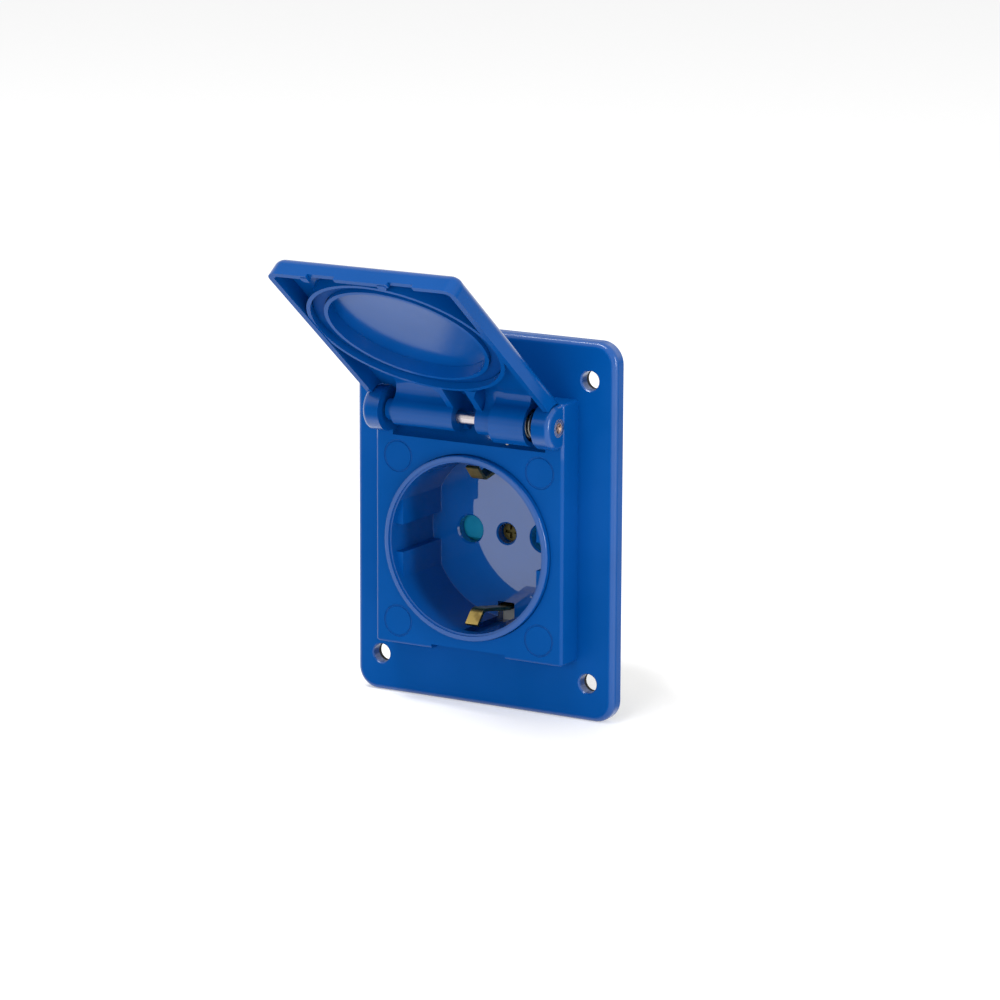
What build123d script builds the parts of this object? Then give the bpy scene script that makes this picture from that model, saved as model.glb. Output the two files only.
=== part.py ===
from build123d import *

import math
import os

# Waterproof flush socket outlet, German type with side earth clips, lid standing open.
# Millimetres. X runs to the right seen from the front, Y into the panel, Z up.
# The origin is the centre of the four fixing holes on the back of the flange.

# How far a cutting shape runs past the face that it cuts
past = 1.0

# Socket well and its rim
socket_z = -5.1
rim_r = 21.1
rim_wall = 1.1
rim_rise = 1.5
rim_edge_r = 0.45
well_wall = 1.6
well_floor_y = 6.7
floor_thickness = 2.3
collar_lip = 0.8
collar_thickness = 1.6
fit_gap = 0.15
seat_gap = 0.02

# Pin holes, guide blocks and earth slots of the well
pin_pitch = 19.0
pin_hole_r = 3.15
pin_r = 2.4
pin_length = 19.0
hole_chamfer = 0.35
centre_hole_r = 2.35
guide_face_x = 17.3
guide_inner_z = 3.2
guide_outer_z = 9.6
guide_below_rim = 2.0
earth_slot_width = 4.3
earth_slot_depth = 1.1
earth_slot_below_rim = 2.9

# Raised block of the frame
block_rise = 6.8
block_front_wall = 2.2
block_side_wall = 2.95
block_bottom_wall = 3.15
block_edge_r = 0.8
cavity_side_wall = 2.7
cavity_bottom_wall = 2.3
bridge_wall = 2.3
bottom_notch_width = 19.2
bottom_notch_height = 1.0
bottom_notch_depth = 3.0
mark_r = 3.5
mark_groove_r = 0.25

# Flange
flange_depth = 3.5
flange_corner_r = 5.0
flange_edge_r = 1.5
screw_beside_block = 2.8
screw_above_block = 4.5
screw_to_side = 6.5
screw_to_end = 8.7
screw_hole_r = 2.2
screw_hole_chamfer = 0.25
gasket_thickness = 1.0
gasket_margin = 1.5
gasket_window_margin = 0.6

# Hinge
hinge_rise = 1.5
ear_r = 5.0
ear_width = 4.3
ear_edge_r = 1.2
ear_inset = 0.2
hinge_pin_r = 1.5
pin_bore_gap = 0.05
pin_head_r = 2.1
pin_head_length = 1.0
pin_dimple_r = 1.3
pin_dimple_depth = 0.4
pin_end_wall = 0.6

# Lid, drawn shut and then swung open
lid_open_angle = 128.3
lid_side_inset = 0.8
lid_end_margin = 2.3
lid_end_draft = 1.5
lid_outer_h = 6.05
lid_lip_h = 1.0
lid_wall = 1.4
lid_floor = 1.3
lid_edge_r = 2.5
lid_corner_r = 2.8
lid_heel = 1.8
trough_gap = 0.3
ear_swing_gap = 0.4
spring_knuckle_r = 4.75
plain_knuckle_r = 3.4
neck_r = 2.5
neck_ear_gap = 0.4
neck_length = 2.0
spring_knuckle_ear_gap = 2.2
notch_left = -1.5
notch_right = 4.4
spring_web_r = 2.0
plain_web_r = 3.2
rib_thickness = 1.5
rib_flare = 1.4
rib_flare_length = 2.4
ring_drop = 3.0
ring_side_inset = 0.8
outer_ring_wall = 0.9
outer_ring_h = 1.2
ring_groove = 2.9
inner_ring_wall = 0.9
inner_ring_h = 1.8
dish_margin = 0.3
dish_depth = 0.6
pad_r = 1.1
pad_places = [5.6, -13.6]
pad_proud = 0.12
lip_notches = [(-12.9, -6.0), (7.3, 13.5)]
lip_notch_depth = 0.8

# Lid seal
seal_side_gap = 0.1
seal_h = 2.7

# Lid spring
spring_wire_r = 0.4
spring_coil_r = 2.6
spring_pitch = 0.95
spring_turns = 9
spring_chamber_r = 3.7
spring_chamber_wall = 1.2
spring_end_gap = 0.25
spring_leg_turn = 9.0
spring_leg_proud = 0.45
spring_leg_gap = 0.25
spring_tail_length = 1.6

# Fixing pillars of the frame and the base plate behind them
pillar_r = 3.3
pillar_gap = 1.98
pillar_angle = 46.1
base_plate_thickness = 2.5
base_r = 20.0
base_shoulder = 8.0
base_tail_r = 16.5
base_screw_r = 1.25
base_screw_head_r = 2.5
base_screw_head_length = 1.8
base_screw_reach = 7.5
base_screw_play = 0.3

# Shutter and the chamber it turns in
shutter_pocket_r = 14.5
shutter_pocket_depth = 4.4
shutter_gap = 0.3
shutter_thickness = 2.0
shutter_hub_r = 5.2
shutter_reach = 13.2
shutter_low_edge = 3.6
shutter_high_edge = 4.2
shutter_ramp = 1.1
pivot_r = 3.3
pivot_gap = 0.08
shutter_coil_r = 4.3
shutter_wire_r = 0.25
shutter_coil_turns = 2
shutter_tail_length = 1.0
lug_r = 0.5
lug_place_r = 7.5
lug_length = 1.2

# Centre screw
centre_screw_r = 1.5
centre_head_r = 2.1
centre_head_length = 1.4
centre_head_sink = 1.3
centre_screw_length = 12.0
drive_slot_width = 0.7
drive_slot_depth = 0.6

# Earth bridge
strap_width = 3.2
strap_thickness = 0.8
strap_play = 0.3
bridge_plate_margin = 1.0
arm_r = 17.0
arm_slot_play = 0.7
arm_crest_in = 2.0
arm_crest_below_rim = 6.2
arm_tip_out = 1.1
arm_tip_below_rim = 3.3
arm_floor_lead = 1.0
arm_bend_r = 1.2
crest_bend_r = 2.0
earth_tail_z = 12.4

# Pin contacts
contact_wall = 0.7
contact_start_gap = 0.6
contact_grip = 0.05
contact_slot_width = 0.8
contact_slot_length = 9.0
contact_plate = 1.2
pin_tip_play = 0.5
contact_pocket_play = 0.75
contact_plate_play = 0.05
ring_start = 3.0
ring_length = 1.6
ring_thickness = 0.5
ring_opening = 1.4

# Terminals on the back of the base
terminal_width = 7.0
terminal_depth = 7.0
terminal_height = 9.0
terminal_edge_r = 0.5
wire_bore_r = 1.75
wire_bore_in = 3.0
terminal_screw_r = 1.6
terminal_head_r = 2.5
terminal_head_length = 1.6
terminal_thread_gap = 0.02
live_terminal_drop = 2.0
barrier_thickness = 1.6
barrier_reach = 8.5
barrier_side_gap = 1.2
barrier_half_height = 7.0

# Places worked out from the sizes above
flange_front = -flange_depth
block_front = flange_front - block_rise
rim_front = block_front - rim_rise
frame_hole_r = rim_r + fit_gap
back_shell_r = lid_outer_h
trough_r = back_shell_r + trough_gap
hinge_y = block_front - hinge_rise
hinge_z = socket_z + frame_hole_r + bridge_wall + trough_r
block_half_width = frame_hole_r + block_side_wall
block_bottom = socket_z - frame_hole_r - block_bottom_wall
block_top = hinge_z + ear_r
screw_x = block_half_width + screw_beside_block
screw_z = block_top + screw_above_block
flange_half_width = screw_x + screw_to_side
flange_half_height = screw_z + screw_to_end
floor_back = well_floor_y + floor_thickness
well_r = rim_r - well_wall
cavity_half_width = block_half_width - cavity_side_wall
cavity_top = socket_z + rim_r + collar_lip + fit_gap
cavity_bottom = block_bottom + cavity_bottom_wall
cavity_front = block_front + block_front_wall
ear_outer_x = block_half_width - ear_inset
ear_inner_x = ear_outer_x - ear_width
pillar_centre_r = rim_r + pillar_gap + pillar_r
pillar_x = pillar_centre_r * math.cos(math.radians(pillar_angle))
pillar_z = pillar_centre_r * math.sin(math.radians(pillar_angle))
pocket_back = floor_back + shutter_pocket_depth
strap_back = pocket_back + strap_thickness
arm_crest_r = arm_r - arm_crest_in
arm_tip_r = arm_r + arm_tip_out
earth_slot_inner_r = arm_r - strap_thickness / 2 - arm_slot_play
contact_front = strap_back + contact_start_gap
contact_back = well_floor_y + pin_length + pin_tip_play
base_back = contact_back + contact_plate
contact_in_r = pin_r - contact_grip
contact_out_r = contact_in_r + contact_wall
contact_pocket_r = contact_out_r + contact_pocket_play
pin_x = pin_pitch / 2
lid_half_width = block_half_width - lid_side_inset
outer_ring_r = lid_half_width - ring_side_inset
ring_centre = hinge_z - socket_z + ring_drop
inner_ring_r = outer_ring_r - outer_ring_wall - ring_groove
dish_r = inner_ring_r - inner_ring_wall - dish_margin
lid_reach = ring_centre + outer_ring_r + lid_end_margin
lid_floor_h = lid_outer_h - lid_floor
rib_reach = ring_centre - outer_ring_r + outer_ring_wall / 2
coil_end = ear_inner_x - spring_end_gap - spring_wire_r
coil_start = coil_end - spring_turns * spring_pitch
spring_chamber_start = coil_start - spring_wire_r - spring_end_gap
neck_end = neck_ear_gap - ear_inner_x
plain_knuckle_end = neck_end + neck_length
spring_knuckle_start = spring_chamber_start - spring_chamber_wall
spring_knuckle_end = ear_inner_x - spring_knuckle_ear_gap
shutter_coil_pitch = 2 * shutter_wire_r + seat_gap
shutter_coil_start = floor_back + shutter_gap + shutter_thickness + shutter_gap + shutter_wire_r


def block(x_low, x_high, y_low, y_high, z_low, z_high):
    """A box between two corners."""
    centre = ((x_low + x_high) / 2, (y_low + y_high) / 2, (z_low + z_high) / 2)
    return Pos(*centre) * Box(x_high - x_low, y_high - y_low, z_high - z_low)


def rod_along_y(radius, y_low, y_high, x=0.0, z=0.0):
    """A round bar that runs front to back."""
    return Pos(x, (y_low + y_high) / 2, z) * Rot(90, 0, 0) * Cylinder(radius, y_high - y_low)


def rod_along_x(radius, x_low, x_high, y=0.0, z=0.0):
    """A round bar that runs left to right."""
    return Pos((x_low + x_high) / 2, y, z) * Rot(0, 90, 0) * Cylinder(radius, x_high - x_low)


def rod_along_z(radius, z_low, z_high, x=0.0, y=0.0):
    """An upright round bar."""
    return Pos(x, y, (z_low + z_high) / 2) * Cylinder(radius, z_high - z_low)


def ring_along_y(outer_r, inner_r, y_low, y_high, x=0.0, z=0.0):
    """A tube that runs front to back."""
    return rod_along_y(outer_r, y_low, y_high, x, z) - rod_along_y(inner_r, y_low, y_high, x, z)


def cone_along_y(front_r, back_r, y_low, y_high, x=0.0, z=0.0):
    """A tapered plug, for the chamfered mouth of a hole."""
    plug = Cone(front_r, back_r, y_high - y_low)
    return Pos(x, (y_low + y_high) / 2, z) * Rot(-90, 0, 0) * plug


def rounded_plate(half_width, half_height, corner_r, y_low, y_high):
    """A flat plate with round corners, centred on the origin."""
    outline = Plane.XZ * RectangleRounded(2 * half_width, 2 * half_height, corner_r)
    return Pos(0, y_high, 0) * extrude(outline, y_high - y_low)


def both_signs():
    """The four corners of a rectangle, as pairs of signs."""
    return [(x_sign, z_sign) for x_sign in (-1, 1) for z_sign in (-1, 1)]


def fixing_places():
    """Centres of the four fixing holes."""
    return [(x_sign * screw_x, z_sign * screw_z) for x_sign, z_sign in both_signs()]


def pillar_places():
    """Centres of the four pillars, which also carry the round marks on the face."""
    return [(x_sign * pillar_x, socket_z + z_sign * pillar_z) for x_sign, z_sign in both_signs()]


def flange():
    """Plate that covers the panel's cut-out, its front edge rounded."""
    plate = rounded_plate(flange_half_width, flange_half_height, flange_corner_r, flange_front, 0)
    front_face = plate.faces().sort_by(Axis.Y)[0]
    return fillet(front_face.edges(), flange_edge_r)


def hinge_ear(side):
    """One ear: round at the front, flush with the block behind."""
    x_low, x_high = sorted((side * ear_inner_x, side * ear_outer_x))
    ear = rod_along_x(ear_r, x_low, x_high, hinge_y, hinge_z)
    ear += block(x_low, x_high, hinge_y, cavity_front, hinge_z - ear_r, hinge_z + ear_r)
    outer_face = ear.faces().sort_by(Axis.X)[-1 if side > 0 else 0]
    round_edges = [e for e in outer_face.edges() if e.center().Y < block_front]
    return fillet(round_edges, ear_edge_r)


def bottom_notch():
    """Shallow relief in the middle of the block's lower edge."""
    half = bottom_notch_width / 2
    notch_top = block_bottom + bottom_notch_height
    notch_back = block_front + bottom_notch_depth
    return block(-half, half, block_front - past, notch_back, block_bottom - past, notch_top)


def along_spring_leg(shape):
    """Turns a shape drawn straight below the hinge axis to the lid spring's leg."""
    return Pos(0, hinge_y, hinge_z) * Rot(spring_leg_turn, 0, 0) * shape


def front_frame():
    """Flange, raised block, ears and pillars, moulded in one."""
    side = block_half_width
    raised = block(-side, side, block_front, flange_front + block_edge_r, block_bottom, block_top)
    front_face = raised.faces().sort_by(Axis.Y)[0]
    upright_edges = raised.edges().filter_by(Axis.Y)
    raised = fillet(front_face.edges() + upright_edges, block_edge_r)
    frame = flange() + raised + hinge_ear(-1) + hinge_ear(1)
    frame -= block(-cavity_half_width, cavity_half_width, cavity_front, past, cavity_bottom, cavity_top)
    frame -= rounded_plate(
        flange_half_width - gasket_margin,
        flange_half_height - gasket_margin,
        flange_corner_r - gasket_margin,
        -gasket_thickness,
        past,
    )
    for x, z in pillar_places():
        frame += rod_along_y(pillar_r, cavity_front - seat_gap, floor_back, x, z)
        pilot_front = floor_back - base_screw_reach - past
        frame -= rod_along_y(base_screw_r + seat_gap, pilot_front, floor_back + past, x, z)
        frame -= Pos(x, block_front, z) * Rot(90, 0, 0) * Torus(mark_r, mark_groove_r)
    frame -= rod_along_y(frame_hole_r, block_front - past, floor_back, 0, socket_z)
    frame -= rod_along_x(trough_r, -ear_inner_x, ear_inner_x, hinge_y, hinge_z)
    frame -= bottom_notch()
    for x, z in fixing_places():
        frame -= rod_along_y(screw_hole_r, flange_front - past, past, x, z)
        mouth_r = screw_hole_r + screw_hole_chamfer
        frame -= cone_along_y(mouth_r, screw_hole_r, flange_front, flange_front + screw_hole_chamfer, x, z)
    bore_r = hinge_pin_r + seat_gap
    frame -= rod_along_x(bore_r, -ear_outer_x + pin_end_wall, ear_outer_x + past, hinge_y, hinge_z)
    head_seat = ear_outer_x - pin_head_length
    frame -= rod_along_x(pin_head_r + seat_gap, head_seat, ear_outer_x + past, hinge_y, hinge_z)
    tail_end = coil_end + spring_tail_length
    tail_hole = rod_along_x(spring_wire_r + seat_gap, coil_end, tail_end + seat_gap, 0, -spring_coil_r)
    return frame - along_spring_leg(tail_hole)


def panel_gasket():
    """Flat gasket that fills the recess in the flange's back."""
    margin = gasket_margin + fit_gap
    sheet = rounded_plate(
        flange_half_width - margin,
        flange_half_height - margin,
        flange_corner_r - margin,
        -gasket_thickness,
        0,
    )
    window = cavity_half_width + gasket_window_margin
    window_low = cavity_bottom - gasket_window_margin
    window_high = cavity_top + gasket_window_margin
    sheet -= block(-window, window, -gasket_thickness - past, past, window_low, window_high)
    for x, z in fixing_places():
        sheet -= rod_along_y(screw_hole_r, -gasket_thickness - past, past, x, z)
    return sheet


def guide_blocks():
    """Flat-faced blocks at both sides of the well, with a groove between each pair."""
    blocks = None
    front = rim_front + guide_below_rim
    for x_sign, z_sign in both_signs():
        x_low, x_high = sorted((x_sign * guide_face_x, x_sign * rim_r))
        z_low, z_high = sorted((z_sign * guide_inner_z, z_sign * guide_outer_z))
        guide = block(x_low, x_high, front, well_floor_y + seat_gap, socket_z + z_low, socket_z + z_high)
        blocks = guide if blocks is None else blocks + guide
    return blocks & rod_along_y(well_r + seat_gap, front, well_floor_y + seat_gap, 0, socket_z)


def earth_slot(z_sign, y_low, y_high, inner_r, outer_r):
    """Space for one earth arm at the top or bottom of the well."""
    z_low, z_high = sorted((z_sign * inner_r, z_sign * outer_r))
    half = earth_slot_width / 2
    return block(-half, half, y_low, y_high, socket_z + z_low, socket_z + z_high)


def socket_well():
    """Cup with a rim in front, a floor and a collar that seats behind the block's face."""
    well = rod_along_y(rim_r, rim_front, floor_back, 0, socket_z)
    rim_edge = well.faces().sort_by(Axis.Y)[0].edges()
    well = fillet(rim_edge, rim_edge_r)
    collar = rod_along_y(rim_r + collar_lip, cavity_front, cavity_front + collar_thickness, 0, socket_z)
    inside = cavity_half_width - fit_gap
    collar &= block(-inside, inside, cavity_front, 0, cavity_bottom + fit_gap, cavity_top - seat_gap)
    well += collar
    well -= rod_along_y(rim_r - rim_wall, rim_front - past, rim_front + rim_edge_r, 0, socket_z)
    well -= rod_along_y(well_r, rim_front, well_floor_y, 0, socket_z)
    well += guide_blocks()
    well += rod_along_y(pivot_r, floor_back - seat_gap, pocket_back - seat_gap, 0, socket_z)
    for side in (-1, 1):
        x = side * pin_x
        well -= rod_along_y(pin_hole_r, well_floor_y - past, floor_back + past, x, socket_z)
        mouth_r = pin_hole_r + hole_chamfer
        well -= cone_along_y(mouth_r, pin_hole_r, well_floor_y, well_floor_y + hole_chamfer, x, socket_z)
    seat = floor_back + centre_head_sink
    well -= rod_along_y(centre_hole_r, well_floor_y - past, seat, 0, socket_z)
    well -= cone_along_y(
        centre_hole_r + hole_chamfer, centre_hole_r, well_floor_y, well_floor_y + hole_chamfer, 0, socket_z
    )
    well -= rod_along_y(centre_screw_r + seat_gap, seat, pocket_back + past, 0, socket_z)
    for z_sign in (-1, 1):
        slot_front = rim_front + earth_slot_below_rim
        slot_r = well_r + earth_slot_depth
        well -= earth_slot(z_sign, slot_front, floor_back + past, earth_slot_inner_r, slot_r)
    return well


def centre_screw():
    """Screw that holds the base to the well, its head in the floor's middle hole."""
    seat = floor_back + centre_head_sink
    screw = rod_along_y(centre_head_r, seat - centre_head_length, seat, 0, socket_z)
    screw += rod_along_y(centre_screw_r, seat, seat + centre_screw_length, 0, socket_z)
    top = seat - centre_head_length
    for half_x, half_z in ((centre_head_r, drive_slot_width / 2), (drive_slot_width / 2, centre_head_r)):
        arm_x = min(half_x, centre_head_r - drive_slot_depth)
        arm_z = min(half_z, centre_head_r - drive_slot_depth)
        screw -= block(-arm_x, arm_x, top - past, top + drive_slot_depth, socket_z - arm_z, socket_z + arm_z)
    return screw


def shutter():
    """Rotor with one wing behind each pin hole, ramped where a pin meets it."""
    front = floor_back + shutter_gap
    back = front + shutter_thickness
    wing = block(-shutter_reach, 0, front, back, -shutter_low_edge, shutter_high_edge)
    long_edges = wing.edges().filter_by(Axis.X)
    low_front_edges = [e for e in long_edges if e.center().Z < 0 and e.center().Y < front + seat_gap]
    wing = chamfer(low_front_edges, shutter_ramp)
    rotor = wing + Rot(0, 180, 0) * wing
    rotor += rod_along_y(shutter_hub_r, front, back)
    lug_drop = shutter_wire_r + fit_gap + lug_r
    rotor += rod_along_y(lug_r, back - seat_gap, back + lug_length, -lug_place_r, -lug_drop)
    rotor -= rod_along_y(pivot_r + pivot_gap, front - past, back + past)
    return Pos(0, 0, socket_z) * rotor


def coil(coil_r, wire_r, turns, pitch):
    """Wire wound round the Z axis, upwards from the point on the X axis."""
    path = Helix(pitch, turns * pitch, coil_r)
    start = Plane(origin=path @ 0, z_dir=path % 0)
    return sweep(start * Circle(wire_r), path=path, is_frenet=True)


def shutter_spring():
    """Small coil behind the shutter, one leg on the shutter's lug and one in the base."""
    length = shutter_coil_turns * shutter_coil_pitch
    spring = coil(shutter_coil_r, shutter_wire_r, shutter_coil_turns, shutter_coil_pitch)
    leg = rod_along_x(shutter_wire_r, shutter_coil_r, lug_place_r + lug_r)
    tail_end = pocket_back + shutter_tail_length - shutter_coil_start
    tail = rod_along_z(shutter_wire_r, length, tail_end, shutter_coil_r)
    spring = Rot(0, 180, 0) * Rot(-90, 0, 0) * (spring + leg + tail)
    return Pos(0, shutter_coil_start, socket_z) * spring


def arm_path(z_sign):
    """Centre line of half the strap, from the middle to one clip's tip."""
    middle = pocket_back + strap_thickness / 2
    crest_y = rim_front + arm_crest_below_rim
    tip_y = rim_front + arm_tip_below_rim
    points = [
        (0, middle, socket_z),
        (0, middle, socket_z + z_sign * arm_r),
        (0, well_floor_y - arm_floor_lead, socket_z + z_sign * arm_r),
        (0, crest_y, socket_z + z_sign * arm_crest_r),
        (0, tip_y, socket_z + z_sign * arm_tip_r),
    ]
    return FilletPolyline(*points, radius=[arm_bend_r, crest_bend_r, crest_bend_r])


def earth_bridge():
    """One strap with a clip at each end and a tail to the earth terminal."""
    middle = pocket_back + strap_thickness / 2
    strip = None
    for z_sign in (-1, 1):
        section = Plane(origin=(0, middle, socket_z), z_dir=(0, 0, z_sign)) * Rectangle(
            strap_width, strap_thickness
        )
        half = sweep(section, path=arm_path(z_sign))
        strip = half if strip is None else strip + half
    plate_half = strap_width / 2 + bridge_plate_margin
    strip += block(
        -plate_half, plate_half, pocket_back, strap_back, socket_z - plate_half, socket_z + plate_half
    )
    tail_z = socket_z + earth_tail_z
    half_tail = strap_thickness / 2
    strip += block(
        -strap_width / 2, strap_width / 2, pocket_back, base_back, tail_z - half_tail, tail_z + half_tail
    )
    return strip - rod_along_y(centre_screw_r + seat_gap, pocket_back - past, strap_back + past, 0, socket_z)


def terminal_places():
    """Centres of the live, neutral and earth blocks, seen from the front."""
    low = socket_z - live_terminal_drop
    high = socket_z + earth_tail_z
    return {"live": (-pin_x, low), "neutral": (pin_x, low), "earth": (0.0, high)}


def contact_base():
    """Insulating body behind the well, with pockets for shutter, strap and contacts."""
    half_x = pillar_x + pillar_r
    half_z = pillar_z + pillar_r
    plate_back = floor_back + base_plate_thickness
    base = block(-half_x, half_x, floor_back, plate_back, socket_z - half_z, socket_z + half_z)
    base = fillet(base.edges().filter_by(Axis.Y), pillar_r - fit_gap)
    base += rod_along_y(base_r, floor_back, floor_back + base_shoulder, 0, socket_z)
    base += rod_along_y(base_tail_r, floor_back, base_back, 0, socket_z)
    base -= rod_along_y(shutter_pocket_r, floor_back - past, pocket_back, 0, socket_z)
    half_strap = strap_width / 2 + strap_play
    for z_sign in (-1, 1):
        arm_outer = arm_r + strap_thickness / 2 + strap_play
        base -= earth_slot(z_sign, floor_back - past, pocket_back, earth_slot_inner_r, arm_outer)
        z_low, z_high = sorted((0, z_sign * arm_outer))
        strap_end = strap_back + seat_gap
        base -= block(
            -half_strap, half_strap, pocket_back - past, strap_end, socket_z + z_low, socket_z + z_high
        )
    plate_half = strap_width / 2 + bridge_plate_margin + strap_play
    base -= block(
        -plate_half,
        plate_half,
        pocket_back - past,
        strap_back + seat_gap,
        socket_z - plate_half,
        socket_z + plate_half,
    )
    tail_z = socket_z + earth_tail_z
    half_tail = strap_thickness / 2 + seat_gap
    base -= block(
        -half_strap, half_strap, pocket_back, base_back + past, tail_z - half_tail, tail_z + half_tail
    )
    tail_end = pocket_back + shutter_tail_length
    tail_hole_r = shutter_wire_r + seat_gap
    base -= rod_along_y(tail_hole_r, pocket_back - past, tail_end + seat_gap, -shutter_coil_r, socket_z)
    for side in (-1, 1):
        base -= rod_along_y(contact_pocket_r, pocket_back - past, base_back + past, side * pin_x, socket_z)
    screw_end = floor_back + centre_head_sink + centre_screw_length
    base -= rod_along_y(centre_screw_r + seat_gap, strap_back - past, screw_end + past, 0, socket_z)
    for x, z in pillar_places():
        hole_r = base_screw_r + base_screw_play
        base -= rod_along_y(hole_r, floor_back - past, plate_back + past, x, z)
        base -= rod_along_y(
            base_screw_head_r + base_screw_play, plate_back, base_back + past, x, z
        )
    return base + terminal_barriers()


def terminal_barriers():
    """Ribs on the back of the base that keep the three terminals apart."""
    places = terminal_places()
    reach = base_back + barrier_reach
    start = base_back - past
    half = barrier_thickness / 2
    low = places["live"][1] - barrier_half_height
    shelf = places["earth"][1] - terminal_height / 2 - barrier_side_gap
    upright = block(-half, half, start, reach, low, shelf)
    shelf_half = terminal_width + barrier_side_gap + terminal_width / 2
    level = block(-shelf_half, shelf_half, start, reach, shelf - barrier_thickness, shelf)
    return upright + level


def base_screws():
    """Four screws through the base plate into the pillars."""
    plate_back = floor_back + base_plate_thickness
    screws = []
    for x, z in pillar_places():
        screw = rod_along_y(base_screw_r, floor_back - base_screw_reach, plate_back, x, z)
        head_back = plate_back + base_screw_head_length
        screw += rod_along_y(base_screw_head_r, plate_back, head_back, x, z)
        half = drive_slot_width / 2
        slot_front = head_back - drive_slot_depth
        head = base_screw_head_r
        screw -= block(x - head, x + head, slot_front, head_back + past, z - half, z + half)
        screws.append(screw)
    return Compound(children=screws)


def pin_contact(side):
    """Split tube that grips a plug's pin, closed by a plate at the back."""
    x = side * pin_x
    tube = ring_along_y(contact_out_r, contact_in_r, contact_front, contact_back, x, socket_z)
    half = contact_slot_width / 2
    slot_end = contact_front + contact_slot_length
    slot_reach = contact_out_r + past
    tube -= block(
        x - half, x + half, contact_front - past, slot_end, socket_z - slot_reach, socket_z + slot_reach
    )
    plate_r = contact_pocket_r - contact_plate_play
    return tube + rod_along_y(plate_r, contact_back, base_back, x, socket_z)


def contact_spring(side):
    """Open steel ring that presses the split tube on the pin."""
    x = side * pin_x
    low = contact_front + ring_start
    inner_r = contact_out_r + seat_gap
    ring = ring_along_y(inner_r + ring_thickness, inner_r, low, low + ring_length, x, socket_z)
    half = ring_opening / 2
    outside = x + side * (inner_r + ring_thickness + past)
    x_low, x_high = sorted((x, outside))
    high = low + ring_length
    return ring - block(x_low, x_high, low - past, high + past, socket_z - half, socket_z + half)


def terminal_block(x, z):
    """Brass block with an upright wire bore and a threaded hole from the back."""
    half_w = terminal_width / 2
    half_h = terminal_height / 2
    back = base_back + terminal_depth
    body = block(x - half_w, x + half_w, base_back, back, z - half_h, z + half_h)
    body = fillet(body.edges().filter_by(Axis.Z), terminal_edge_r)
    wire_y = base_back + wire_bore_in
    body -= rod_along_z(wire_bore_r, z - half_h - past, z + half_h + past, x, wire_y)
    return body - rod_along_y(terminal_screw_r + terminal_thread_gap, wire_y, back + past, x, z)


def terminal_screws():
    """Three clamp screws, backed off so that the wire bores are free."""
    back = base_back + terminal_depth
    tip = base_back + wire_bore_in + wire_bore_r
    screws = []
    for x, z in terminal_places().values():
        screw = rod_along_y(terminal_screw_r, tip, back, x, z)
        screw += rod_along_y(terminal_head_r, back, back + terminal_head_length, x, z)
        half = drive_slot_width / 2
        head_back = back + terminal_head_length
        head = terminal_head_r
        screw -= block(
            x - head, x + head, head_back - drive_slot_depth, head_back + past, z - half, z + half
        )
        screws.append(screw)
    return Compound(children=screws)


def swing_open(shape):
    """Moves a shape drawn on the shut lid, hinge axis at zero, to the open lid."""
    return Pos(0, hinge_y, hinge_z) * Rot(-lid_open_angle, 0, 0) * shape


def lid_ring(outer_r, inner_r, y_low, y_high):
    """A ring in the shut lid, round the lid's own ring centre."""
    return ring_along_y(outer_r, inner_r, y_low, y_high, 0, -ring_centre)


def lid_end_z(y, wall):
    """Where the sloping end wall lies at a depth, or its inner face when a wall is given."""
    slope = lid_end_draft / (lid_outer_h - lid_lip_h)
    return -lid_reach + wall - slope * (y + lid_lip_h)


def lid_slab(half_width, y_low, y_high, z_high, wall, corner_r):
    """Slab across the shut lid, its far end sloping like the end wall and its far corners round."""
    low_end = (y_low, lid_end_z(y_low, wall))
    high_end = (y_high, lid_end_z(y_high, wall))
    face = make_face(Polyline((y_low, z_high), (y_high, z_high), high_end, low_end, close=True))
    slab = Pos(-half_width, 0, 0) * extrude(Plane.YZ * face, 2 * half_width)
    far_face = slab.faces().sort_by(Axis.Z)[0]
    return fillet(far_face.edges().filter_by(Axis.X, reverse=True), corner_r)


def inside_tray(wall, z_high):
    """The tray's inner space, or more of it where only part of the wall is kept out."""
    return lid_slab(lid_half_width - wall, -lid_outer_h, 0, z_high, wall, lid_corner_r - wall)


def lid_tray():
    """Shallow tray: floor, two sides and the free end."""
    tray = lid_slab(lid_half_width, -lid_outer_h, -lid_lip_h, -lid_heel, 0, lid_corner_r)
    outer_face = tray.faces().sort_by(Axis.Y)[0]
    outer_edges = [e for e in outer_face.edges() if e.center().Z < -lid_heel - seat_gap]
    tray = fillet(outer_edges, lid_edge_r)
    inner = lid_half_width - lid_wall
    return tray - lid_slab(inner, -lid_floor_h, past, past, lid_wall, lid_corner_r - lid_wall)


def lid_rings():
    """Two raised rings on the lid's floor, cut off at the side walls."""
    floor_y = -lid_floor_h - seat_gap
    rings = lid_ring(outer_ring_r, outer_ring_r - outer_ring_wall, floor_y, -outer_ring_h)
    rings += lid_ring(inner_ring_r, inner_ring_r - inner_ring_wall, floor_y, -inner_ring_h)
    return rings & inside_tray(lid_wall / 2, -lid_heel)


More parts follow.
